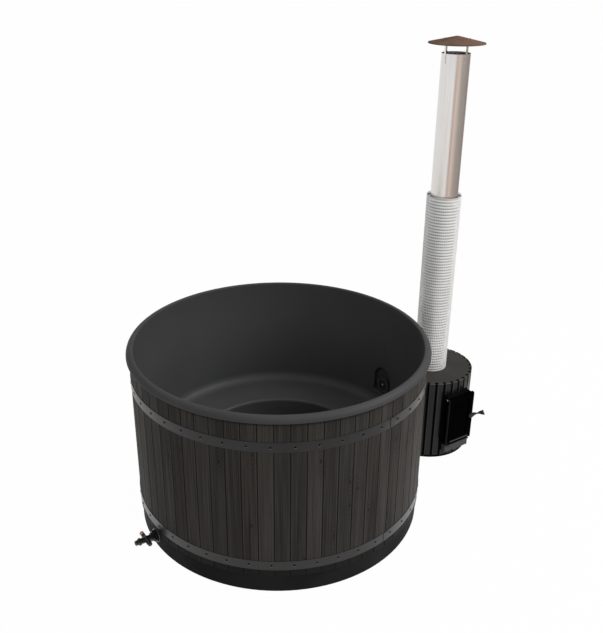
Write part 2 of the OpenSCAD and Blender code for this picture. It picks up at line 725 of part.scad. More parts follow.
module ash_drawer() {
  l = front_y + 110;
  color([0.24, 0.24, 0.24]) at_door() {
    difference() {
      block(drawer_w, front_y - l, front_y, drawer_z, drawer_h);
      block(drawer_w - 4, front_y - l + 2, front_y - 3, drawer_z + 2, drawer_h);
    }
    difference() {
      block(front_w, front_y - 1, front_y + 3, drawer_z - 2, drawer_h + 5);
      for (s = [-1, 1]) translate([s*(front_w/2 - 10), -front_y - 10, drawer_z + 8])
        rotate([-90, 0, 0]) cylinder(r = 2.5, h = 20, $fn = 24);
    }
    // folded lip along the top of the front, to pull by
    block(front_w, front_y, front_y + 14, drawer_z + drawer_h + 0.5, 2.5);
    block(front_w - 40, front_y + 12, front_y + 14, drawer_z + drawer_h - 8, 9);
  }
}

// ---- fire door
open_w = door_w - 2*border;
open_h = door_h - 2*border;
module door_frame() {
  z0 = lug_low + lug_h + 0.5;
  z1 = lug_high - 0.5;
  color([0.06, 0.06, 0.06]) at_door() difference() {
    union() {
      difference() {
        union() {
          block(door_w, door_back, door_front - 4, door_z, door_h);
          block(door_w - 5, door_front - 5, door_front, door_z + 2.5, door_h - 5);
        }
        block(open_w, door_back - 1, door_front + 1, door_z + border, open_h);
        block(open_w + 2*rebate, door_back - 1, door_front - 6, door_z + border - rebate, open_h + 2*rebate);
      }
      translate([hinge_x, hinge_y, z0]) cylinder(r = knuckle_r, h = z1 - z0);
    }
    translate([hinge_x, hinge_y, 0]) cylinder(r = hinge_r + run_fit, h = far);
    for (z = [lug_low - 5, z1]) translate([hinge_x, hinge_y, z])
      cylinder(r = knuckle_r + 1.5, h = lug_h + 6);
    translate([latch_x, -door_front - 5, latch_z]) rotate([-90, 0, 0])
      cylinder(r = latch_r + run_fit, h = 2*door_t + 10);
  }
}
module door_glass() {
  w = open_w + 2*rebate - 1;
  h = open_h + 2*rebate - 1;
  color([0.02, 0.02, 0.02]) at_door() block(w, door_front - 6 - seat - glass_t, door_front - 6 - seat,
    door_z + door_h/2 - h/2, h);
}
module glass_retainer() {
  w = open_w + 2*rebate - 1;
  h = open_h + 2*rebate - 1;
  y1 = door_front - 6 - 2*seat - glass_t;
  color([0.30, 0.30, 0.30]) at_door() difference() {
    block(w, y1 - 2.5, y1, door_z + door_h/2 - h/2, h);
    block(open_w - 2, y1 - 5, y1 + 1, door_z + border + 1, open_h - 2);
  }
}
module door_seal() {
  w = neck_w - neck_wall + 3;
  y1 = door_back - seat;
  color([0.45, 0.45, 0.43]) at_door() difference() {
    block(w, y1 - 1, y1, neck_z + 4, door_h - 6);
    block(w - 9, y1 - 2, y1 + 1, neck_z + 8.5, door_h - 15);
    for (z = [lug_low - 5, lug_high - 1]) translate([hinge_x, hinge_y, z])
      cylinder(r = knuckle_r + 1.5, h = lug_h + 6);
  }
}
module door_trim() {
  w = open_w + 10;
  y = door_front + seat;
  color([0.15, 0.15, 0.15]) at_door() {
    block(w, y, y + 2.5, door_z + border/2 - 3, 6);
    for (s = [-1, 1]) translate([s*w/2, -y, door_z + border/2]) rotate([90, 0, 0])
      cylinder(r = 3, h = 2.5, $fn = 32);
  }
}
module latch_spindle() {
  color([0.35, 0.35, 0.35]) at_door() translate([latch_x, 0, latch_z]) rotate([90, 0, 0]) {
    translate([0, 0, neck_y - 14]) cylinder(r = latch_r, h = door_front - neck_y + 14 + 0.5);
    // the cam that turns behind the door
    translate([0, -4.5, neck_y - 14]) cube([cam_len - 4.5, 9, 6]);
    translate([cam_len - 4.5, 0, neck_y - 14]) cylinder(r = 4.5, h = 6, $fn = 32);
    translate([0, 0, neck_y - 14]) cylinder(r = 8, h = 6);
  }
}
module strike_plate() {
  color([0.40, 0.40, 0.40]) at_door() difference() {
    translate([neck_w/2 - neck_wall - 1.2, -neck_y + 1, latch_z - 22]) cube([1, 20, 44]);
    for (s = [-16, 16]) translate([neck_w/2 - 15, -neck_y + 11, latch_z + s]) along_x()
      cylinder(r = 2.1, h = 20, $fn = 24);
  }
}
module door_handle() {
  y = door_front + 1;
  l = door_w/2 - latch_x;
  color([0.20, 0.20, 0.20]) at_door() translate([latch_x, -y, latch_z]) rotate([0, droop, 0]) {
    rotate([90, 0, 0]) cylinder(r = 12, h = 6);
    translate([0, -5.5, -grip_w/2]) cube([l + 0.5, 4, grip_w]);
    translate([l, -3.5, 0]) along_x()
      linear_extrude(grip_len, twist = -grip_twist, slices = 24, segments = 12)
        square([grip_w, 4], center = true);
  }
}

// ---- flue
module flue_collar() {
  color([0.24, 0.23, 0.22]) at_stove() translate([0, 0, stove_h + seat]) difference() {
    union() {
      cylinder(r = flue_r + 7, h = 3);
      cylinder(r = flue_r + 0.3 + collar_t, h = 30);
    }
    translate([0, 0, -1]) cylinder(r = flue_r + 0.3, h = 40);
  }
}
module flue_lower() {
  z0 = tank_top - crown + 2;
  color([0.78, 0.77, 0.75]) at_stove() rotate_extrude() polygon([
    [flue_r - flue_t, z0], [flue_r, z0], [flue_r, flue_joint - 4],
    [flue_r - flue_t - 0.4, flue_joint - 1], [flue_r - flue_t - 0.4, flue_joint + 50],
    [flue_r - 2*flue_t - 0.4, flue_joint + 50], [flue_r - 2*flue_t - 0.4, flue_joint - 2],
    [flue_r - flue_t, flue_joint - 5]]);
}
module flue_upper() {
  color([0.78, 0.77, 0.75]) at_stove() translate([0, 0, flue_joint])
    ring(flue_r, flue_r - flue_t, flue_h - flue_joint);
}
module heat_guard() {
  color([0.82, 0.82, 0.81]) at_stove() translate([0, 0, stove_h + seat])
    ring(guard_r, guard_r - guard_t, guard_h - stove_h - seat, $fn = 120);
}
module guard_spacers() {
  l = guard_r - guard_t - flue_r - 2*seat;
  color([0.70, 0.70, 0.70]) at_stove() for (z = [stove_h + 40, guard_h - 50], i = [0:2])
    rotate([0, 0, i*120 + 30]) translate([flue_r + seat, 0, z]) difference() {
      union() {
        translate([0, -9, 0]) cube([l, 2, 24]);
        translate([0, 7, 0]) cube([l, 2, 24]);
        translate([l - 2, -9, 0]) cube([2, 18, 24]);
        intersection() {
          translate([0, -9, 0]) cube([3, 18, 24]);
          translate([-flue_r - seat, 0, -1]) ring(flue_r + seat + 2, flue_r + seat, 30);
        }
      }
      translate([-flue_r - seat, 0, -1]) ring(guard_r + 20, guard_r - guard_t - seat, 30);
      translate([-flue_r - seat, 0, -1]) cylinder(r = flue_r + seat, h = 30);
    }
}
module rain_cap() {
  color([0.47, 0.38, 0.34]) at_stove() rotate_extrude($fn = 120) polygon([
    [0, cap_z + cap_rise], [0, cap_z + cap_rise - cap_t - 0.5], [cap_r - 1.5, cap_z + 0.5],
    [cap_r - 1.5, cap_z - 3], [cap_r, cap_z - 3], [cap_r, cap_z + 1.2], [12, cap_z + cap_rise - 2]]);
}
cap_slope = (cap_rise - 3.2)/(cap_r - 12);
function cap_over(r) = cap_z + cap_rise - 2 - cap_slope*(r - 12);
function cap_under(r) = cap_z + 0.5 + (cap_rise - cap_t - 1)*(1 - r/(cap_r - 1.5)) - 0.4;
module at_legs() { at_stove() for (i = [0:3]) rotate([0, 0, i*90 + door_az]) children(); }
module cap_legs() {
  a = flue_r + 0.3;
  b = sqrt(pow(flue_r - flue_t, 2) - pow(leg_w/2, 2)) - 0.3;
  low = flue_h - strap_len;
  top = cap_under(a + foot_len);
  color([0.60, 0.58, 0.55]) at_legs()
    translate([0, leg_w/2, 0]) rotate([90, 0, 0]) linear_extrude(leg_w) polygon([
      [a, low], [a + leg_t, low], [a + leg_t, cap_under(a + leg_t) - leg_t - 1],
      [a + foot_len, top - leg_t], [a + foot_len, top], [a, cap_under(a)], [a, flue_h + 3],
      [b - leg_t, flue_h + 3], [b - leg_t, flue_h - hook_len], [b, flue_h - hook_len],
      [b, flue_h + 0.3], [a, flue_h + 0.3]]);
}
module cap_rivets() {
  x = flue_r + 0.6*foot_len;
  color([0.55, 0.52, 0.50]) at_legs() translate([x, 0, cap_over(x)])
    rotate([0, atan(cap_slope), 0]) translate([0, 0, 0.25])
      cylinder(r1 = 4, r2 = 2.5, h = 2, $fn = 32);
}

liner();
insulation();
base_skirt();
staves();
upper_band();
lower_band();
band_screws();
inlet_cover();
cover_screw();
hot_fitting();
hot_washer();
hot_nut();
return_line();
return_nut();
floor_grilles();
drain_line();
drain_flange();
drain_nut();
valve_body();
valve_ball();
valve_knob();
valve_end_cap();
valve_end_ring();
outlet_tail();
water_hoses();
hose_clamps();
stove_base();
stove_panels();
stove_top();
stove_tank();
fire_grate();
ash_drawer();
hinge_rod();
strike_plate();
door_frame();
door_glass();
glass_retainer();
door_seal();
door_trim();
latch_spindle();
door_handle();
flue_collar();
flue_lower();
flue_upper();
heat_guard();
guard_spacers();
rain_cap();
cap_legs();
cap_rivets();
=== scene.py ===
"""Round wooden hot tub with an outside wood-fired stove: looks, light and camera."""
import json
import math
import bpy
from mathutils import Matrix, Vector


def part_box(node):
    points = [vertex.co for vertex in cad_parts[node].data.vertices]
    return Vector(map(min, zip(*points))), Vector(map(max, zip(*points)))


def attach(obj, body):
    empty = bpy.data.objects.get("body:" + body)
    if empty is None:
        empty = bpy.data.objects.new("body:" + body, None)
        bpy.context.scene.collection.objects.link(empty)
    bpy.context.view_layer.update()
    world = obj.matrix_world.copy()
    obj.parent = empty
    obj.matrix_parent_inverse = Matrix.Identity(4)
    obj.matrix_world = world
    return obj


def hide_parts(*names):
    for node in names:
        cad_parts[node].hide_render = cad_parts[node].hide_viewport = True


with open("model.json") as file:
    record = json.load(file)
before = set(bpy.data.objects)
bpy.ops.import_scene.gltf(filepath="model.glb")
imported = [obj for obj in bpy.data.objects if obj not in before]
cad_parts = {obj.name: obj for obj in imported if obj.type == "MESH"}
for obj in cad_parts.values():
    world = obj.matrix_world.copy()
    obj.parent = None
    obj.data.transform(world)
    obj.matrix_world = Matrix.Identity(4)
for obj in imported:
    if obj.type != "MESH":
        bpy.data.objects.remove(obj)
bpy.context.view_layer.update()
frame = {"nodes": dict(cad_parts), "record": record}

NODE = frame["nodes"]

# ---- sizes shared with the model, in metres. AZ is a direction from +X, in degrees
MM = 0.001
STOVE_X = 1.0915
STOVE_R = 0.249
PANELS = 33
PANEL_AZ = -91.2
PANEL_PITCH = 2*math.pi*STOVE_R/PANELS
NOTCH_R = 0.007
STAVES = 64
STAVE_W = 0.0741
SEAM_AZ = -119.8
BAND_SCREWS = 44
SCREW_AZ = -126.5
BAND_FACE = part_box("upper_band")[1][0]
BAND_HEIGHTS = (0.818, 0.162)
RIM_R = 0.724
DOOR_AZ = -92.0
DOOR_TURN = math.radians(DOOR_AZ + 90)
DOOR_W = 0.196
DOOR_FRONT = -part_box("door_frame")[0][1] + DOOR_W/2*math.sin(DOOR_TURN)
GUARD_R = 0.095
GUARD_LOW, GUARD_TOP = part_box("heat_guard")[0][2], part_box("heat_guard")[1][2]

# ---- camera, solved from the photograph's ellipses: pixels, millimetres, metres and degrees
PHOTO_H = 633
FOCAL_PX = 812.22
SENSOR = 36.0
CAMERA_AT = (-2.0511, -3.1004, 2.8089)
CAMERA_AZ = 54.781
CAMERA_DOWN = 24.7184
CAMERA_ROLL = 0.5428


def make_camera():
    data = bpy.data.cameras.new("photo_camera")
    data.sensor_fit = "VERTICAL"
    data.sensor_height = SENSOR
    data.lens = FOCAL_PX/PHOTO_H*SENSOR
    data.clip_end = 400
    cam = bpy.data.objects.new("photo_camera", data)
    bpy.context.scene.collection.objects.link(cam)
    aim = (Matrix.Rotation(math.radians(CAMERA_AZ - 90), 4, "Z")
           @ Matrix.Rotation(math.radians(90 - CAMERA_DOWN), 4, "X")
           @ Matrix.Rotation(math.radians(CAMERA_ROLL), 4, "Z"))
    cam.matrix_world = Matrix.Translation(CAMERA_AT) @ aim
    bpy.context.scene.camera = cam


# ---- small helpers for node trees
def grey(value):
    """A colour without hue."""
    return (value, value, value)


def put(tree, value, socket):
    """Links an output to the socket, or sets a plain value on it."""
    if isinstance(value, bpy.types.NodeSocket):
        tree.links.new(value, socket)
    else:
        socket.default_value = value


def node(tree, kind, settings=None, **inputs):
    """A new node. Its inputs are given by name, or by number as i0, i1 and so on."""
    made = tree.nodes.new(kind)
    for key, value in (settings or {}).items():
        setattr(made, key, value)
    for key, value in inputs.items():
        numbered = key[0] == "i" and key[1:].isdigit()
        put(tree, value, made.inputs[int(key[1:]) if numbered else key.replace("_", " ")])
    return made


def calc(tree, operation, *values):
    """The result of one step of arithmetic."""
    made = tree.nodes.new("ShaderNodeMath")
    made.operation = operation
    for value, socket in zip(values, made.inputs):
        put(tree, value, socket)
    return made.outputs[0]


def times(tree, a, b):
    """The product of two numbers."""
    return calc(tree, "MULTIPLY", a, b)


def minus(tree, a, b):
    """The first number less the second."""
    return calc(tree, "SUBTRACT", a, b)


def mixed(tree, a, b, share):
    """This share of the first number and the rest of the second."""
    return calc(tree, "MULTIPLY_ADD", a, share, times(tree, b, 1 - share))


def distance(tree, a, b):
    """Length of the flat step made of a and b."""
    return calc(tree, "SQRT", calc(tree, "MULTIPLY_ADD", a, a, times(tree, b, b)))


def fade(tree, value, low, high, to_low=0.0, to_high=1.0):
    """A smooth step of value from low to high."""
    made = node(tree, "ShaderNodeMapRange", {"interpolation_type": "SMOOTHSTEP"},
                i0=value, i1=low, i2=high, i3=to_low, i4=to_high)
    return made.outputs[0]


def tint(tree, mask, base, over):
    """The base colour where the mask is 0, the other one where it is 1."""
    made = node(tree, "ShaderNodeMix", {"data_type": "RGBA"}, i0=mask)
    for color, socket in ((base, made.inputs[6]), (over, made.inputs[7])):
        put(tree, (*color, 1) if isinstance(color, tuple) else color, socket)
    return made.outputs[2]


def mottled(tree, tone, dark, light):
    """Two colours in the soft patches of a tone."""
    return tint(tree, fade(tree, tone, 0.32, 0.68), dark, light)


def satin(tree, tone, dull, shiny):
    """Roughness that falls from dull to shiny where the tone rises."""
    return fade(tree, tone, 0.3, 0.7, dull, shiny)


def place(tree):
    """Object coordinates as a vector."""
    return node(tree, "ShaderNodeTexCoord").outputs["Object"]


def axes(tree):
    """Object coordinates as three numbers."""
    return node(tree, "ShaderNodeSeparateXYZ", i0=place(tree)).outputs


def vector(tree, x, y, z):
    return node(tree, "ShaderNodeCombineXYZ", i0=x, i1=y, i2=z).outputs[0]


def facing(tree):
    """The direction a surface faces, as a vector."""
    return node(tree, "ShaderNodeNewGeometry").outputs["Normal"]


def noise(tree, at, scale, detail=2.0, rough=0.5):
    made = node(tree, "ShaderNodeTexNoise", Vector=at, Scale=scale, Detail=detail,
                Roughness=rough)
    return made.outputs[0]


def random_of(tree, number):
    """A random value from 0 to 1 that depends on the number alone."""
    made = node(tree, "ShaderNodeTexWhiteNoise", {"noise_dimensions": "1D"}, W=number)
    return made.outputs["Value"]


def bump(tree, height, depth):
    """A normal for the relief of a height, with its depth in metres."""
    return node(tree, "ShaderNodeBump", Height=height, Distance=depth).outputs[0]


def group(name, ins, outs):
    """An empty shader group with named number inputs and named outputs."""
    tree = bpy.data.node_groups.new(name, "ShaderNodeTree")
    for label, value in ins:
        socket = tree.interface.new_socket(label, in_out="INPUT", socket_type="NodeSocketFloat")
        socket.default_value = value
    for label in outs:
        tree.interface.new_socket(label, in_out="OUTPUT", socket_type="NodeSocketFloat")
    given = tree.nodes.new("NodeGroupInput").outputs
    result = tree.nodes.new("NodeGroupOutput").inputs
    return tree, given, result


def use(tree, made, **inputs):
    """The outputs of a shader group placed in a material with its own values."""
    placed = tree.nodes.new("ShaderNodeGroup")
    placed.node_tree = made
    for key, value in inputs.items():
        put(tree, value, placed.inputs[key])
    return placed.outputs


def wire(tree, shader, **values):
    """Links values to the shader's sockets of the same names."""
    for key, value in values.items():
        tree.links.new(value, shader[key.replace("_", " ")])


# ---- shader groups that several finishes share
def grained_skin():
    """Fine pebbled skin of moulded plastic or powder coat, with slow mottling."""
    tree, ins, outs = group("grained skin", [("Grain", 900.0), ("Mottle", 5.0)],
                            ["Tone", "Height"])
    at = place(tree)
    fine = noise(tree, at, ins["Grain"], 2.0)
    slow = noise(tree, at, ins["Mottle"], 3.0)
    wire(tree, outs, Tone=mixed(tree, fine, slow, 0.35), Height=fine)
    return tree


def drawn_lines():
    """Fine lines left by drawing or brushing: the noise is stretched along X, Y or Z."""
    tree, ins, outs = group("drawn lines", [("X", 400.0), ("Y", 400.0), ("Z", 6.0)],
                            ["Lines", "Blotch"])
    x, y, z = axes(tree)
    at = vector(tree, times(tree, x, ins["X"]), times(tree, y, ins["Y"]), times(tree, z, ins["Z"]))
    wire(tree, outs, Lines=noise(tree, at, 1.0, 3.0, 0.6),
         Blotch=noise(tree, place(tree), 7.0, 4.0, 0.6))
    return tree


def settled_dust():
    """Dust that lies on faces that look up, thicker in patches."""
    tree, ins, outs = group("settled dust", [("Amount", 0.3)], ["Dust"])
    up = node(tree, "ShaderNodeSeparateXYZ", i0=facing(tree)).outputs[2]
    at = place(tree)
    patch = mixed(tree, noise(tree, at, 9.0, 5.0, 0.65), noise(tree, at, 160.0, 2.0), 0.7)
    dust = times(tree, fade(tree, up, 0.45, 1.0), fade(tree, patch, 0.38, 0.72))
    wire(tree, outs, Dust=times(tree, dust, ins["Amount"]))
    return tree


SKIN, LINES, DUST = grained_skin(), drawn_lines(), settled_dust()


# ---- finishes
def finish_of(name, roughness=0.5, metallic=0.0, specular=0.5):
    """A new material, its node tree and the inputs of its shader, with plain values set."""
    made = bpy.data.materials.new(name)
    made.use_nodes = True
    tree = made.node_tree
    shader = tree.nodes["Principled BSDF"].inputs
    shader["Roughness"].default_value = roughness
    shader["Metallic"].default_value = metallic
    shader["Specular IOR Level"].default_value = specular
    return made, tree, shader


def moulded(name, dark, light, roughness=0.5, grain=900.0, depth=0.12*MM, dust=0.0,
            specular=0.35, mottle=5.0, metallic=0.0):
    """Moulded plastic, rubber, cast iron or powder coat."""
    made, tree, shader = finish_of(name, roughness, metallic, specular)
    skin = use(tree, SKIN, Grain=grain, Mottle=mottle)
    color = mottled(tree, skin["Tone"], dark, light)
    if dust:
        color = tint(tree, use(tree, DUST, Amount=dust)["Dust"], color, (0.30, 0.29, 0.27))
    wire(tree, shader, Base_Color=color, Normal=bump(tree, skin["Height"], depth),
         Roughness=satin(tree, skin["Tone"], roughness + 0.06, roughness - 0.06))
    return made


def drawn_metal(name, dark, light, roughness, metallic=1.0):
    """Drawn or brushed bare metal, its lines upright."""
    made, tree, shader = finish_of(name, roughness, metallic)
    line = use(tree, LINES, X=400.0, Y=400.0, Z=6.0)
    mask = mixed(tree, line["Lines"], line["Blotch"], 0.5)
    wire(tree, shader, Base_Color=tint(tree, fade(tree, mask, 0.35, 0.65), dark, light),
         Roughness=satin(tree, line["Blotch"], roughness + 0.07, roughness - 0.05),
         Normal=bump(tree, line["Lines"], 0.03*MM))
    return made


def liner_plastic():
    """The liner's satin plastic, with painted shade on the roll outside its top edge, which is also
    duller.
    """
    made, tree, shader = finish_of("liner plastic", 0.48, 0.0, 0.2)
    skin = use(tree, SKIN, Grain=1100.0, Mottle=3.0)
    x, y, _ = axes(tree)
    roll = fade(tree, distance(tree, x, y), RIM_R, RIM_R + 0.012)
    inside = mottled(tree, skin["Tone"], (0.053, 0.0534, 0.0548), (0.061, 0.0614, 0.063))
    # painted shade: the roll gets a darker copy of the plastic
    outside = mottled(tree, skin["Tone"], (0.039, 0.039, 0.0399), (0.045, 0.045, 0.0461))
    wire(tree, shader, Base_Color=tint(tree, roll, inside, outside),
         Roughness=calc(tree, "MULTIPLY_ADD", roll, 0.16, satin(tree, skin["Tone"], 0.50, 0.42)),
         Normal=bump(tree, skin["Height"], 0.10*MM))
    return made


def knots_of(tree, board, across, z):
    """Masks of the boards' knots and of the year rings that bend round them."""
    scale = 5.0
    squeeze = 0.42
    board_step = 0.613
    wobble = noise(tree, vector(tree, board, z, 0.0), 9.0)
    wobble = times(tree, minus(tree, wobble, 0.5), 0.012)
    # each board shows another strip of the pattern, drawn out along the board
    side = calc(tree, "ADD", calc(tree, "MULTIPLY_ADD", board, board_step, across), wobble)
    cells = node(tree, "ShaderNodeTexVoronoi", {"voronoi_dimensions": "2D", "feature": "F1"},
                 Vector=vector(tree, side, times(tree, z, squeeze), 0.0), Scale=scale)
    far = calc(tree, "DIVIDE", cells.outputs["Distance"], scale)
    rings = fade(tree, calc(tree, "SINE", times(tree, far, 620.0)), 0.2, 1.0)
    return fade(tree, far, 0.0085, 0.0035), times(tree, rings, fade(tree, far, 0.05, 0.012))


def stained_staves():
    """Dark stained boards: each has its own tone, streaks, knots, fibres and fine checks."""
    made, tree, shader = finish_of("stained staves", 0.6, 0.0, 0.05)
    x, y, z = axes(tree)
    per_radian = STAVES/(2*math.pi)
    turn = calc(tree, "MULTIPLY_ADD", calc(tree, "ARCTAN2", y, x), per_radian,
                STAVES - math.radians(SEAM_AZ)*per_radian)
    board = calc(tree, "FLOOR", turn)
    across = times(tree, minus(tree, calc(tree, "FRACT", turn), 0.5), STAVE_W)
    edge = minus(tree, STAVE_W/2, calc(tree, "ABSOLUTE", across))
    knot, rings = knots_of(tree, board, across, z)

    def streaks(fine, along, detail, rough, seed):
        """Noise stretched along the board."""
        at = vector(tree, times(tree, across, fine), times(tree, z, along), seed)
        return noise(tree, at, 1.0, detail, rough)

    fibre = streaks(1500.0, 20.0, 3.0, 0.6, board)
    streak = streaks(210.0, 1.3, 2.0, 0.55, board)
    wide = streaks(55.0, 1.8, 3.0, 0.55, board)
    check = streaks(420.0, 5.0, 1.0, 0.4, calc(tree, "ADD", board, 50.0))
    check = fade(tree, check, 0.72, 0.78)
    tone = times(tree, fibre, 0.22)
    for part, weight in ((streak, 0.55), (wide, 0.35), (random_of(tree, board), 0.12)):
        tone = calc(tree, "MULTIPLY_ADD", part, weight, tone)
    tone = minus(tree, tone, times(tree, rings, 0.08))
    light = tint(tree, random_of(tree, calc(tree, "ADD", board, 91.3)),
                 (0.074, 0.0645, 0.0565), (0.063, 0.058, 0.0525))
    color = tint(tree, fade(tree, tone, 0.34, 0.98), (0.017, 0.0158, 0.0148), light)
    # laid over the grain, each with its strength: knots, checks, a painted highlight beside
    # the boards' edges, the grooves where stain gathers, the ends below the lower band made
    # darker, painted shade on the tops under the rim, and dust
    low_ends = BAND_HEIGHTS[1] - 0.020
    rim_shade = 0.932
    layers = ((knot, 0.55, (0.010, 0.009, 0.008)),
              (check, 0.6, grey(0.008)),
              # painted highlight beside the boards' edges
              (fade(tree, edge, 0.009, 0.005), 0.18, (0.085, 0.076, 0.068)),
              (fade(tree, edge, 0.0042, 0.0022), 0.65, (0.006, 0.0055, 0.005)),
              (fade(tree, z, low_ends, low_ends - 0.007), 0.9, (0.011, 0.0105, 0.010)),
              # painted shade on the boards' tops under the rim
              (fade(tree, z, rim_shade - 0.011, rim_shade), 0.6, (0.010, 0.0095, 0.009)),
              (use(tree, DUST, Amount=0.15)["Dust"], 1.0, (0.2, 0.19, 0.18)))
    for mask, strength, over in layers:
        color = tint(tree, times(tree, mask, strength), color, over)
    height = calc(tree, "MULTIPLY_ADD", fibre, 0.45, times(tree, streak, 0.35))
    height = minus(tree, height, times(tree, check, 0.9))
    height = minus(tree, height, times(tree, knot, 0.4))
    wire(tree, shader, Base_Color=color, Roughness=fade(tree, tone, 0.3, 1.0, 0.70, 0.50),
         Normal=bump(tree, height, 0.6*MM))
    return made


def heat_tinted_flue():
    """Polished steel pipe, brown where the heat has coloured it, with painted shade behind the guard.
    """
    made, tree, shader = finish_of("heat tinted steel", 0.2, 1.0)
    line = use(tree, LINES, X=300.0, Y=300.0, Z=3.0)
    z = axes(tree)[2]
    heat = calc(tree, "MULTIPLY_ADD", line["Blotch"], 0.25, fade(tree, z, 2.4, 1.2, 0.0, 0.55))
    steel = tint(tree, fade(tree, line["Lines"], 0.3, 0.7), (0.70, 0.69, 0.68), (0.80, 0.79, 0.78))
    steel = tint(tree, times(tree, heat, 0.35), steel, (0.72, 0.58, 0.47))
    # painted shade: the pipe is darkened behind the guard
    shade_behind_guard = fade(tree, z, GUARD_TOP - 0.005, GUARD_TOP - 0.03, 0.0, 0.85)
    wire(tree, shader, Base_Color=tint(tree, shade_behind_guard, steel, (0.10, 0.095, 0.09)),
         Roughness=satin(tree, line["Blotch"], 0.26, 0.17),
         Normal=bump(tree, line["Lines"], 0.02*MM))
    return made


def sooted_glass():
    """Black glass of the fire door, with more soot higher up."""
    made, tree, shader = finish_of("sooted glass", 0.05, 0.0, 0.001)
    at = place(tree)
    soot = calc(tree, "MULTIPLY_ADD", noise(tree, at, 14.0, 4.0), 0.6,
                fade(tree, axes(tree)[2], 0.24, 0.40, 0.0, 0.4))
    wire(tree, shader, Base_Color=tint(tree, soot, (0.0015, 0.0015, 0.0016), grey(0.0006)),
         Roughness=fade(tree, noise(tree, at, 120.0), 0.3, 0.8, 0.05, 0.11))
    return made


def rope_weave():
    """Braided rope of the door's seal."""
    made, tree, shader = finish_of("rope weave", 0.9, 0.0, 0.1)
    x, y, z = axes(tree)
    slant = calc(tree, "ADD", calc(tree, "ADD", x, y), z)
    slant = calc(tree, "SINE", times(tree, slant, 2100.0))
    weave = calc(tree, "MULTIPLY_ADD", noise(tree, place(tree), 1500.0), 0.5, slant)
    threads = fade(tree, weave, -0.8, 1.0)
    wire(tree, shader, Base_Color=tint(tree, threads, (0.10, 0.10, 0.09), (0.30, 0.29, 0.27)),
         Normal=bump(tree, weave, 0.4*MM))
    return made


def painted_cap():
    """The rain cap's brown coat, paler and shinier in soft patches."""
    made, tree, shader = finish_of("brown cap", 0.5, 0.0, 0.0)
    line = use(tree, LINES, X=9.0, Y=9.0, Z=3.0)
    pale = fade(tree, mixed(tree, line["Lines"], line["Blotch"], 0.5), 0.34, 0.66)
    wire(tree, shader, Base_Color=tint(tree, pale, (0.096, 0.058, 0.042), (0.152, 0.095, 0.070)),
         Roughness=fade(tree, pale, 0.0, 1.0, 0.5, 0.36),
         Normal=bump(tree, noise(tree, place(tree), 700.0), 0.08*MM))
    return made


def from_gap(tree):
    """Distance round the stove from the nearest gap between two panels, and from its axis."""
    x, y, _ = axes(tree)
    out = minus(tree, x, STOVE_X)
    turn = calc(tree, "MULTIPLY_ADD", calc(tree, "ARCTAN2", y, out), PANELS/(2*math.pi),
                PANELS + 0.5 - PANEL_AZ*PANELS/360)
    off = times(tree, minus(tree, calc(tree, "FRACT", turn), 0.5), PANEL_PITCH)
    return off, distance(tree, out, y)


def panel_paint():
    """Folded casing panels: black paint, with painted shade in the gaps and a painted highlight along
    one edge of each.
    """
    made, tree, shader = finish_of("panel paint", 0.27, 0.0, 0.20)
    skin = use(tree, SKIN, Grain=1500.0, Mottle=6.0)
    off = from_gap(tree)[0]
    paint = mottled(tree, skin["Tone"], (0.0055, 0.0055, 0.0056), (0.009, 0.009, 0.0091))
    # painted highlight along one edge of each panel
    edge_highlight = times(tree, fade(tree, off, 0.0080, 0.0088), fade(tree, off, 0.0116, 0.0104))
    paint = tint(tree, times(tree, edge_highlight, 0.8), paint, grey(0.045))
    # painted shade in the gaps between the panels
    gap = fade(tree, calc(tree, "ABSOLUTE", off), 0.0082, 0.0068)
    wire(tree, shader, Base_Color=tint(tree, gap, paint, grey(0.0008)),
         Roughness=calc(tree, "MULTIPLY_ADD", gap, 0.7, satin(tree, skin["Tone"], 0.33, 0.23)),
         Normal=bump(tree, skin["Height"], 0.04*MM))
    return made


def door_paint():
    """Black paint of the fire door, with a painted highlight along the frame's front corners."""
    made, tree, shader = finish_of("door paint", 0.3, 0.0, 0.001)
    skin = use(tree, SKIN, Grain=1500.0, Mottle=6.0)
    x, y, _ = axes(tree)
    out = minus(tree, x, STOVE_X)
    across = calc(tree, "MULTIPLY_ADD", out, math.cos(DOOR_TURN), times(tree, y, math.sin(DOOR_TURN)))
    deep = calc(tree, "MULTIPLY_ADD", out, math.sin(DOOR_TURN), times(tree, y, -math.cos(DOOR_TURN)))
    side = fade(tree, calc(tree, "ABSOLUTE", across), DOOR_W/2 - 0.007, DOOR_W/2 - 0.005)
    # painted highlight: a lighter line where the frame's sides meet its front
    corner_highlight = times(tree, side, fade(tree, deep, DOOR_FRONT - 0.009, DOOR_FRONT - 0.007))
    paint = mottled(tree, skin["Tone"], grey(0.0008), grey(0.0016))
    wire(tree, shader, Base_Color=tint(tree, corner_highlight, paint, (0.020, 0.0195, 0.019)),
         Normal=bump(tree, skin["Height"], 0.03*MM))
    return made


def cover_plastic():
    """The inlet cover: black plastic, with a painted highlight on the ring of holes."""
    made, tree, shader = finish_of("cover plastic", 0.45, 0.0, 0.2)
    skin = use(tree, SKIN, Grain=1200.0, Mottle=5.0)
    low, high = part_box("inlet_cover")
    radius = (high[1] - low[1])/2
    _, y, z = axes(tree)
    side = minus(tree, y, (low[1] + high[1])/2)
    up = minus(tree, z, (low[2] + high[2])/2)
    far = distance(tree, side, up)
    # painted highlight: the ring of holes is lighter
    ring = times(tree, fade(tree, far, 0.56*radius, 0.64*radius),
                 fade(tree, far, 0.93*radius, 0.87*radius))
    plastic = mottled(tree, skin["Tone"], (0.017, 0.017, 0.0172), (0.024, 0.024, 0.0243))
    wire(tree, shader, Base_Color=tint(tree, ring, plastic, (0.055, 0.0555, 0.056)),
         Roughness=satin(tree, skin["Tone"], 0.51, 0.39),
         Normal=bump(tree, skin["Height"], 0.06*MM))
    return made


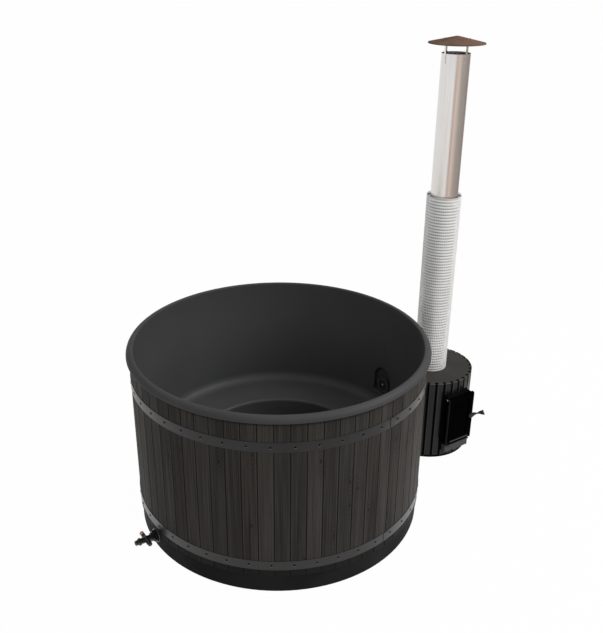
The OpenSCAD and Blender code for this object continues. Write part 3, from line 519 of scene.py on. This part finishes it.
def cup_steel():
    """Steel cups of the band screws: painted shade above, and a painted highlight along the lower
    lip.
    """
    made, tree, shader = finish_of("cup steel", 0.34, 0.4)
    line = use(tree, LINES, X=200.0, Y=200.0, Z=200.0)["Lines"]
    z = axes(tree)[2]
    upper = calc(tree, "GREATER_THAN", z, sum(BAND_HEIGHTS)/2)
    middle = calc(tree, "MULTIPLY_ADD", upper, BAND_HEIGHTS[0] - BAND_HEIGHTS[1], BAND_HEIGHTS[1])
    # painted highlight along the lower lip, painted shade on the rest of the cup
    lip_highlight = fade(tree, minus(tree, middle, z), 0.001, 0.004)
    shaded_steel = tint(tree, fade(tree, line, 0.35, 0.65), grey(0.006), grey(0.014))
    wire(tree, shader, Base_Color=tint(tree, lip_highlight, shaded_steel, (0.13, 0.13, 0.127)),
         Roughness=satin(tree, line, 0.41, 0.29), Normal=bump(tree, line, 0.02*MM))
    return made


def guard_sheet():
    """The guard's pale sheet, with painted shade on its inside, but not along its top edge."""
    made, tree, shader = finish_of("guard sheet", 0.4, 0.15, 0.5)
    skin = use(tree, SKIN, Grain=700.0, Mottle=25.0)
    x, y, z = axes(tree)
    outwards = vector(tree, minus(tree, x, STOVE_X), y, 0.0)
    turned = node(tree, "ShaderNodeVectorMath", {"operation": "DOT_PRODUCT"},
                  i0=facing(tree), i1=outwards).outputs["Value"]
    # painted shade on the guard's inner faces
    inside = times(tree, fade(tree, turned, -0.02, -0.08),
                   fade(tree, z, GUARD_TOP - 0.004, GUARD_TOP - 0.014))
    sheet = mottled(tree, skin["Tone"], (0.78, 0.775, 0.765), (0.88, 0.875, 0.865))
    wire(tree, shader, Base_Color=tint(tree, times(tree, inside, 0.9), sheet, (0.10, 0.095, 0.09)),
         Roughness=satin(tree, skin["Tone"], 0.46, 0.36),
         Normal=bump(tree, skin["Height"], 0.04*MM))
    return made


def plate_paint():
    """The stove's top plate: warm grey paint, painted shade in the notch mouths, and a bright cut
    edge that is partly bare metal and partly painted highlight.
    """
    made, tree, shader = finish_of("plate paint", 0.5, 0.0, 0.04)
    skin = use(tree, SKIN, Grain=1500.0, Mottle=6.0)
    off, reach = from_gap(tree)
    deep = calc(tree, "MAXIMUM", minus(tree, STOVE_R - NOTCH_R, reach), 0.0)
    # painted shade in the mouths of the notches
    mouth = fade(tree, distance(tree, off, deep), NOTCH_R + 0.0045, NOTCH_R + 0.003)
    # the bright cut edge: partly bare metal, partly painted highlight
    cut_edge = fade(tree, reach, STOVE_R - 0.0016, STOVE_R - 0.0006)
    worn_edge_and_glint = times(tree, cut_edge, fade(tree, skin["Tone"], 0.35, 0.5, 0.6, 1.0))
    paint = mottled(tree, skin["Tone"], (0.034, 0.032, 0.0283), (0.043, 0.0405, 0.0358))
    paint = tint(tree, times(tree, mouth, 0.95), paint, grey(0.002))
    wire(tree, shader, Base_Color=tint(tree, worn_edge_and_glint, paint, (0.11, 0.108, 0.106)),
         Metallic=times(tree, worn_edge_and_glint, 0.5),
         Roughness=calc(tree, "MULTIPLY_ADD", mouth, 0.5, satin(tree, skin["Tone"], 0.54, 0.44)),
         Normal=bump(tree, skin["Height"], 0.07*MM))
    return made


# one finish for each slot of the model
FINISH = {
    "liner_plastic": liner_plastic(),
    "foam": moulded("foam", (0.70, 0.62, 0.40), (0.85, 0.78, 0.55), 0.9, grain=500.0, depth=0.6*MM),
    "skirt_plastic": moulded("skirt plastic", (0.012, 0.012, 0.0122), (0.017, 0.017, 0.0173), 0.6,
                             grain=800.0, depth=0.15*MM, specular=0.02),
    "stained_wood": stained_staves(),
    "band_steel": moulded("coated steel band", (0.0115, 0.0115, 0.0116), (0.016, 0.016, 0.0161), 0.31,
                          grain=1300.0, depth=0.04*MM, dust=0.03, specular=0.28, mottle=8.0),
    "dark_screws": moulded("dark screws", grey(0.0008), grey(0.002), depth=0.05*MM, specular=0.02),
    "black_plastic": moulded("black plastic", (0.0045, 0.0045, 0.005), (0.008, 0.008, 0.0088), 0.20,
                             grain=1200.0, depth=0.04*MM, dust=0.03, specular=0.45),
    "stainless": drawn_metal("brushed stainless", grey(0.55), (0.75, 0.75, 0.74), 0.28),
    "grey_plastic": moulded("grey plastic", (0.13, 0.122, 0.114), (0.18, 0.170, 0.158),
                            depth=0.10*MM, dust=0.2),
    "white_plastic": moulded("white plastic", (0.74, 0.74, 0.72), (0.84, 0.84, 0.82), 0.4),
    "orange_plastic": moulded("orange plastic", (0.62, 0.13, 0.05), (0.74, 0.19, 0.08), 0.4),
    "black_rubber": moulded("black rubber", grey(0.006), grey(0.014), 0.7, grain=500.0,
                            depth=0.2*MM),
    "stove_black": moulded("stove paint", grey(0.003), (0.0055, 0.0054, 0.0052), 0.27,
                           grain=1500.0, depth=0.04*MM, dust=0.02, specular=0.20, mottle=6.0),
    "stove_plate": plate_paint(),
    "cast_iron": moulded("cast iron", grey(0.02), (0.05, 0.047, 0.045), 0.65, grain=300.0,
                         depth=0.5*MM, metallic=0.6),
    "dark_glass": sooted_glass(),
    "dark_steel": drawn_metal("dark steel", grey(0.10), grey(0.20), 0.35),
    "rope_seal": rope_weave(),
    "flue_steel": heat_tinted_flue(),
    "guard_steel": guard_sheet(),
    "cap_metal": painted_cap(),
}
# pieces whose finish differs from the rest of their slot
OWN_FINISH = {
    "door_frame": door_paint(),
    "inlet_cover": cover_plastic(),
    "ash_drawer": moulded("drawer paint", (0.035, 0.035, 0.0343), (0.048, 0.048, 0.0469), 0.45,
                          grain=1500.0, depth=0.06*MM, specular=0.2, mottle=6.0),
    "stove_panels": panel_paint(),
    "stove_base": moulded("base paint", grey(0.001), grey(0.0025), depth=0.10*MM, specular=0.05,
                          mottle=6.0),
    # painted shade: the jacket is near-black and matte, so the gaps between the panels read dark
    "stove_tank": moulded("black jacket", grey(0.0012), grey(0.003), 0.8, grain=400.0,
                          depth=0.2*MM, specular=0.05, mottle=6.0),
    "door_handle": moulded("handle black", grey(0.0015), grey(0.004), 0.18, depth=0.03*MM,
                           specular=0.12, mottle=6.0),
    "door_trim": drawn_metal("trim steel", grey(0.030), (0.050, 0.050, 0.049), 0.38, metallic=0.4),
}
CUP_STEEL = cup_steel()
SLOT_OF = {part["node"]: part["material_slot"] for part in frame["record"]["subparts"]}
for name, obj in NODE.items():
    finish = OWN_FINISH.get(name, FINISH[SLOT_OF[name]])
    if not obj.material_slots:
        obj.data.materials.append(finish)
    for used in obj.material_slots:
        used.material = finish


# ---- modelling helpers
def clear_selection():
    if bpy.context.object and bpy.context.object.mode != "OBJECT":
        bpy.ops.object.mode_set(mode="OBJECT")
    bpy.ops.object.select_all(action="DESELECT")


def started(name, finish):
    """Names the primitive that was just added and gives it its finish."""
    obj = bpy.context.object
    obj.name = obj.data.name = name
    obj.data.materials.append(finish)
    return obj


def pick_faces(obj, wanted):
    """Selects, in edit mode, the faces whose polygon passes the test."""
    bpy.ops.mesh.select_mode(type="FACE")
    bpy.ops.mesh.select_all(action="DESELECT")
    bpy.ops.object.mode_set(mode="OBJECT")
    for face in obj.data.polygons:
        face.select = wanted(face)
    bpy.ops.object.mode_set(mode="EDIT")


def pull_edge(rise):
    """Extrudes what is selected straight up by the rise."""
    bpy.ops.mesh.extrude_region_move(TRANSFORM_OT_translate={"value": (0, 0, rise)})


def face_outwards():
    """Selects the whole mesh, in edit mode, and turns its faces outwards."""
    bpy.ops.mesh.select_all(action="SELECT")
    bpy.ops.mesh.normals_make_consistent(inside=False)


def copied(obj, places):
    """Copies of a piece at all the places, each from its own mesh, joined into one piece."""
    clear_selection()
    twins = [obj]
    for _ in places[1:]:
        twin = obj.copy()
        twin.data = obj.data.copy()
        bpy.context.scene.collection.objects.link(twin)
        twins.append(twin)
    for twin, at in zip(twins, places):
        twin.matrix_world = at
        twin.select_set(True)
    bpy.context.view_layer.objects.active = obj
    bpy.ops.object.join()
    return obj


def settle(obj, body, slot, *nodes, angle):
    """Puts the piece's place into its mesh, shades it, hangs it on its body and hides the parts it
    replaces.
    """
    clear_selection()
    obj.select_set(True)
    bpy.context.view_layer.objects.active = obj
    bpy.ops.object.transform_apply(location=True, rotation=True, scale=True)
    bpy.ops.object.shade_smooth_by_angle(angle=math.radians(angle))
    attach(obj, body)
    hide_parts(*nodes)
    clear_selection()


# ---- heat guard: a tube of sheet with rows of small square holes
def make_guard(columns=54, rows=62, hole_share=0.735, bar=2.5*MM, sheet=1.2*MM):
    """Each row of faces is a low one that stays and a taller one that gets the holes."""
    clear_selection()
    step = (GUARD_TOP - GUARD_LOW)/rows
    column_w = 2*math.pi*GUARD_R/columns
    between_sizes = 0.6*step*column_w
    bpy.ops.mesh.primitive_circle_add(vertices=columns, radius=GUARD_R, fill_type="NOTHING",
                                      location=(STOVE_X, 0, GUARD_LOW))
    obj = started("perforated_guard", FINISH["guard_steel"])
    bpy.ops.object.mode_set(mode="EDIT")
    bpy.ops.mesh.select_all(action="SELECT")
    for _ in range(rows):
        pull_edge(step*(1 - hole_share))
        pull_edge(step*hole_share)
    face_outwards()
    pick_faces(obj, lambda face: face.area > between_sizes)
    bpy.ops.mesh.inset(thickness=bar, use_individual=True, use_even_offset=True)
    bpy.ops.mesh.delete(type="FACE")
    bpy.ops.object.mode_set(mode="OBJECT")
    walls = obj.modifiers.new("sheet", "SOLIDIFY")
    walls.thickness = sheet
    walls.offset = -1.0
    bpy.context.view_layer.objects.active = obj
    bpy.ops.object.modifier_apply(modifier=walls.name)
    settle(obj, "tub_and_stove", "guard_steel", "heat_guard", angle=40)


# ---- screws of the bands: dark heads sunk in dished steel cups
# profiles in millimetres: radius, and height above the band's face
CUP_PROFILE = ((7.2, -0.3), (7.2, 0.6), (6.8, 1.2), (4.0, 0.05))
HEAD_PROFILE = ((5.0, -0.2), (4.9, 0.7), (4.0, 1.1), (2.0, 1.2), (1.8, 0.2))


def turned_ring(name, finish, profile, sides=12):
    """A small turned part, drawn inwards from its outer edge. It's left open, in edit mode."""
    clear_selection()
    radius, height = profile[0]
    bpy.ops.mesh.primitive_circle_add(vertices=sides, radius=radius*MM, fill_type="NOTHING",
                                      location=(0, 0, height*MM))
    obj = started(name, finish)
    bpy.ops.object.transform_apply(location=True)
    bpy.ops.object.mode_set(mode="EDIT")
    bpy.ops.mesh.select_mode(type="VERT")
    bpy.ops.mesh.select_all(action="SELECT")
    for next_radius, next_height in profile[1:]:
        pull_edge((next_height - height)*MM)
        bpy.ops.transform.resize(value=(next_radius/radius, next_radius/radius, 1),
                                 center_override=(0, 0, next_height*MM))
        radius, height = next_radius, next_height
    return obj


def screw_places():
    """Where the screws sit, each with its axis pointing out of the band."""
    return [Matrix.Rotation(math.radians(SCREW_AZ + i*360/BAND_SCREWS), 4, "Z")
            @ Matrix.Translation((BAND_FACE, 0, z)) @ Matrix.Rotation(math.pi/2, 4, "Y")
            for z in BAND_HEIGHTS for i in range(BAND_SCREWS)]


def make_band_screws():
    cup = turned_ring("screw_cups", CUP_STEEL, CUP_PROFILE)
    face_outwards()
    bpy.ops.object.mode_set(mode="OBJECT")
    settle(copied(cup, screw_places()), "tub_and_stove", "dark_screws", "band_screws", angle=30)
    head = turned_ring("screw_heads", FINISH["dark_screws"], HEAD_PROFILE)
    # the last ring is closed by one face, the bottom of the recess
    bpy.ops.mesh.edge_face_add()
    face_outwards()
    bpy.ops.object.mode_set(mode="OBJECT")
    settle(copied(head, screw_places()), "tub_and_stove", "dark_screws", "band_screws", angle=30)


# ---- light, floor and background
# the studio as polished metal shows it: turn in degrees from FRONT_AZ, and a colour
FRONT_AZ = -135.4
MIRRORED = ((-180, (0.93, 0.93, 0.93)), (-14, (0.93, 0.93, 0.93)), (-6, (1.0, 1.0, 1.0)),
            (3, (1.0, 0.98, 0.98)), (10, (0.70, 0.62, 0.60)), (17, (0.55, 0.44, 0.41)),
            (25, (0.70, 0.57, 0.50)), (34, (0.85, 0.69, 0.60)), (43, (0.77, 0.65, 0.58)),
            (53, (0.58, 0.50, 0.44)), (66, (0.45, 0.40, 0.37)), (100, (0.38, 0.345, 0.316)),
            (145, (0.33, 0.27, 0.25)), (172, (0.93, 0.93, 0.93)))
MIRRORED_CEILING = grey(0.45)
MIRRORED_GROUND = grey(0.05)
AMBIENT = grey(0.6)
WHITE = (1, 1, 1, 1)
FLOOR_GREY = (0.42, 0.42, 0.42, 1)
FLOOR_WHITE = 0.985
FLOOR_MIRRORED = 1.25


def soft_box(name, energy, width, at, look, mirrored=True):
    """A square area lamp aimed at a point. Polished metal shows it only if it is mirrored."""
    data = bpy.data.lights.new(name, "AREA")
    data.energy = energy
    data.shape = "RECTANGLE"
    data.size = data.size_y = width
    lamp = bpy.data.objects.new(name, data)
    aim = (Vector(at) - Vector(look)).to_track_quat("Z", "Y").to_matrix().to_4x4()
    lamp.matrix_world = Matrix.Translation(at) @ aim
    lamp.visible_glossy = mirrored
    bpy.context.scene.collection.objects.link(lamp)


def mirrored_studio(tree):
    """What glossy rays see: white cloths and warm grey screens, as upright stripes."""
    way = node(tree, "ShaderNodeSeparateXYZ",
               i0=node(tree, "ShaderNodeTexCoord").outputs["Generated"]).outputs
    # share of a turn, with FRONT_AZ in the middle of the ramp
    turn = calc(tree, "DIVIDE", calc(tree, "ARCTAN2", way[1], way[0]), 2*math.pi)
    turn = calc(tree, "FRACT", calc(tree, "ADD", turn, 1.5 - FRONT_AZ/360))
    ramp = tree.nodes.new("ShaderNodeValToRGB")
    stops = ramp.color_ramp.elements
    while len(stops) < len(MIRRORED):
        stops.new(1.0)
    for stop, (angle, color) in zip(stops, MIRRORED):
        stop.position = angle/360 + 0.5
        stop.color = (*color, 1)
    tree.links.new(turn, ramp.inputs[0])
    upper = tint(tree, fade(tree, way[2], 0.05, 0.30), ramp.outputs[0], MIRRORED_CEILING)
    return tint(tree, fade(tree, way[2], -0.80, -0.55), MIRRORED_GROUND, upper)


def make_world():
    """White for the camera, the mirrored studio for polished metal, soft grey light for the rest."""
    world = bpy.data.worlds.new("studio")
    bpy.context.scene.world = world
    world.use_nodes = True
    tree = world.node_tree
    path = node(tree, "ShaderNodeLightPath").outputs
    seen = calc(tree, "MAXIMUM", path["Is Camera Ray"], path["Is Transmission Ray"])
    lit = tint(tree, path["Is Glossy Ray"], AMBIENT, mirrored_studio(tree))
    back = tree.nodes["Background"].inputs
    wire(tree, back, Color=tint(tree, seen, lit, grey(1)))
    back["Strength"].default_value = 1.0


def make_floor():
    """A floor that the camera sees almost white. Polished metal sees it only near the tub."""
    clear_selection()
    bpy.ops.mesh.primitive_plane_add(size=300, location=(0, 0, 0))
    floor = bpy.context.object
    floor.name = "floor"
    made, tree, shader = finish_of("pale floor", 0.9, 0.0, 0.0)
    shader["Base Color"].default_value = FLOOR_GREY
    path = node(tree, "ShaderNodeLightPath").outputs
    glow = node(tree, "ShaderNodeEmission", Color=WHITE, Strength=1.0)
    white = node(tree, "ShaderNodeMixShader", i0=times(tree, path["Is Camera Ray"], FLOOR_WHITE),
                 i1=tree.nodes["Principled BSDF"].outputs[0], i2=glow.outputs[0])
    away = node(tree, "ShaderNodeVectorMath", {"operation": "LENGTH"}, i0=place(tree))
    sheen = node(tree, "ShaderNodeEmission", Color=WHITE, Strength=FLOOR_MIRRORED)
    clear = node(tree, "ShaderNodeBsdfTransparent")
    mirrored = node(tree, "ShaderNodeMixShader", i0=fade(tree, away.outputs["Value"], 1.8, 2.2),
                    i1=sheen.outputs[0], i2=clear.outputs[0])
    shown = node(tree, "ShaderNodeMixShader", i0=path["Is Glossy Ray"], i1=white.outputs[0],
                 i2=mirrored.outputs[0])
    tree.links.new(shown.outputs[0], tree.nodes["Material Output"].inputs["Surface"])
    floor.data.materials.append(made)


def make_stage():
    bpy.context.scene.view_settings.view_transform = "Standard"
    make_world()
    make_floor()
    soft_box("key", 505, 5.5, at=(4.75, -3.85, 6.5), look=(-0.1, 0, 0.6))
    soft_box("fill", 60, 3.0, at=(-0.6, -4.9, 2.8), look=(0.2, 0, 0.5), mirrored=False)
    soft_box("top", 16, 4.0, at=(0.6, 1.2, 5.2), look=(0.4, 0, 0.4))


make_camera()
make_stage()
make_guard()
make_band_screws()
